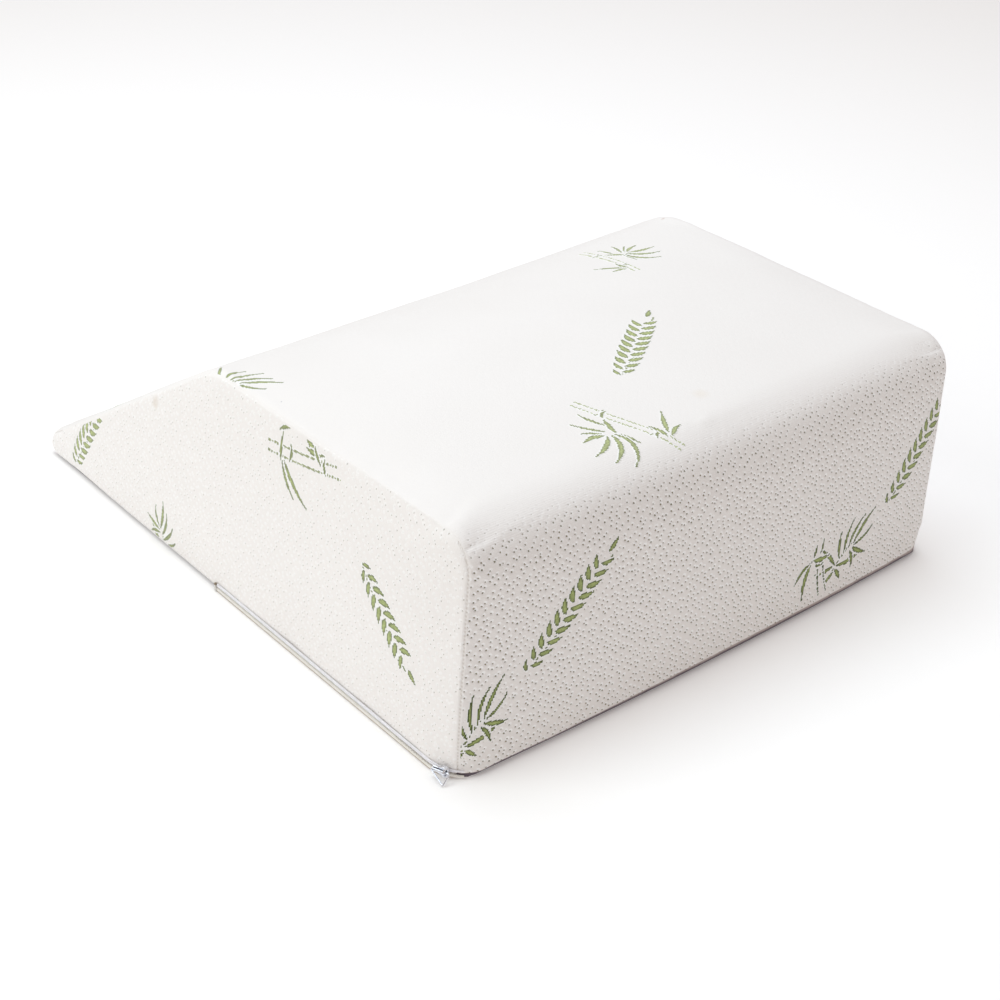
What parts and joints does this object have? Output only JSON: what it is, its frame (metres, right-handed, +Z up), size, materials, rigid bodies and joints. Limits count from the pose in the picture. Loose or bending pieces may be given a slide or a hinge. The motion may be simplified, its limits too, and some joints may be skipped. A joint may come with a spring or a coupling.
{
  "type": "wedge pillow",
  "caption": "Foam wedge pillow with a level top and a long slope, in a white knit cover with a leaf pattern and a zip along the foot.",
  "frame": {"origin": "on the flat base, midway across it and midway between the back and the point where slope and base would meet", "axes": "+X from the toe to the tall back, -Y to the side with the zip, +Z up"},
  "size_m": [0.6015, 0.5212, 0.2045],
  "materials": {
    "cover": "matte",
    "zip_tape": "matte",
    "zip_teeth": "satin",
    "zip_metal": "polished"
  },
  "bodies": {
    "root": {"pillow": "cover", "zip_tape_upper": "zip_tape", "zip_tape_lower": "zip_tape", "zip_coil": "zip_teeth", "zip_stop": "zip_metal", "zip_slider": "zip_metal", "zip_pull": "zip_metal"}
  },
  "joints": []
}
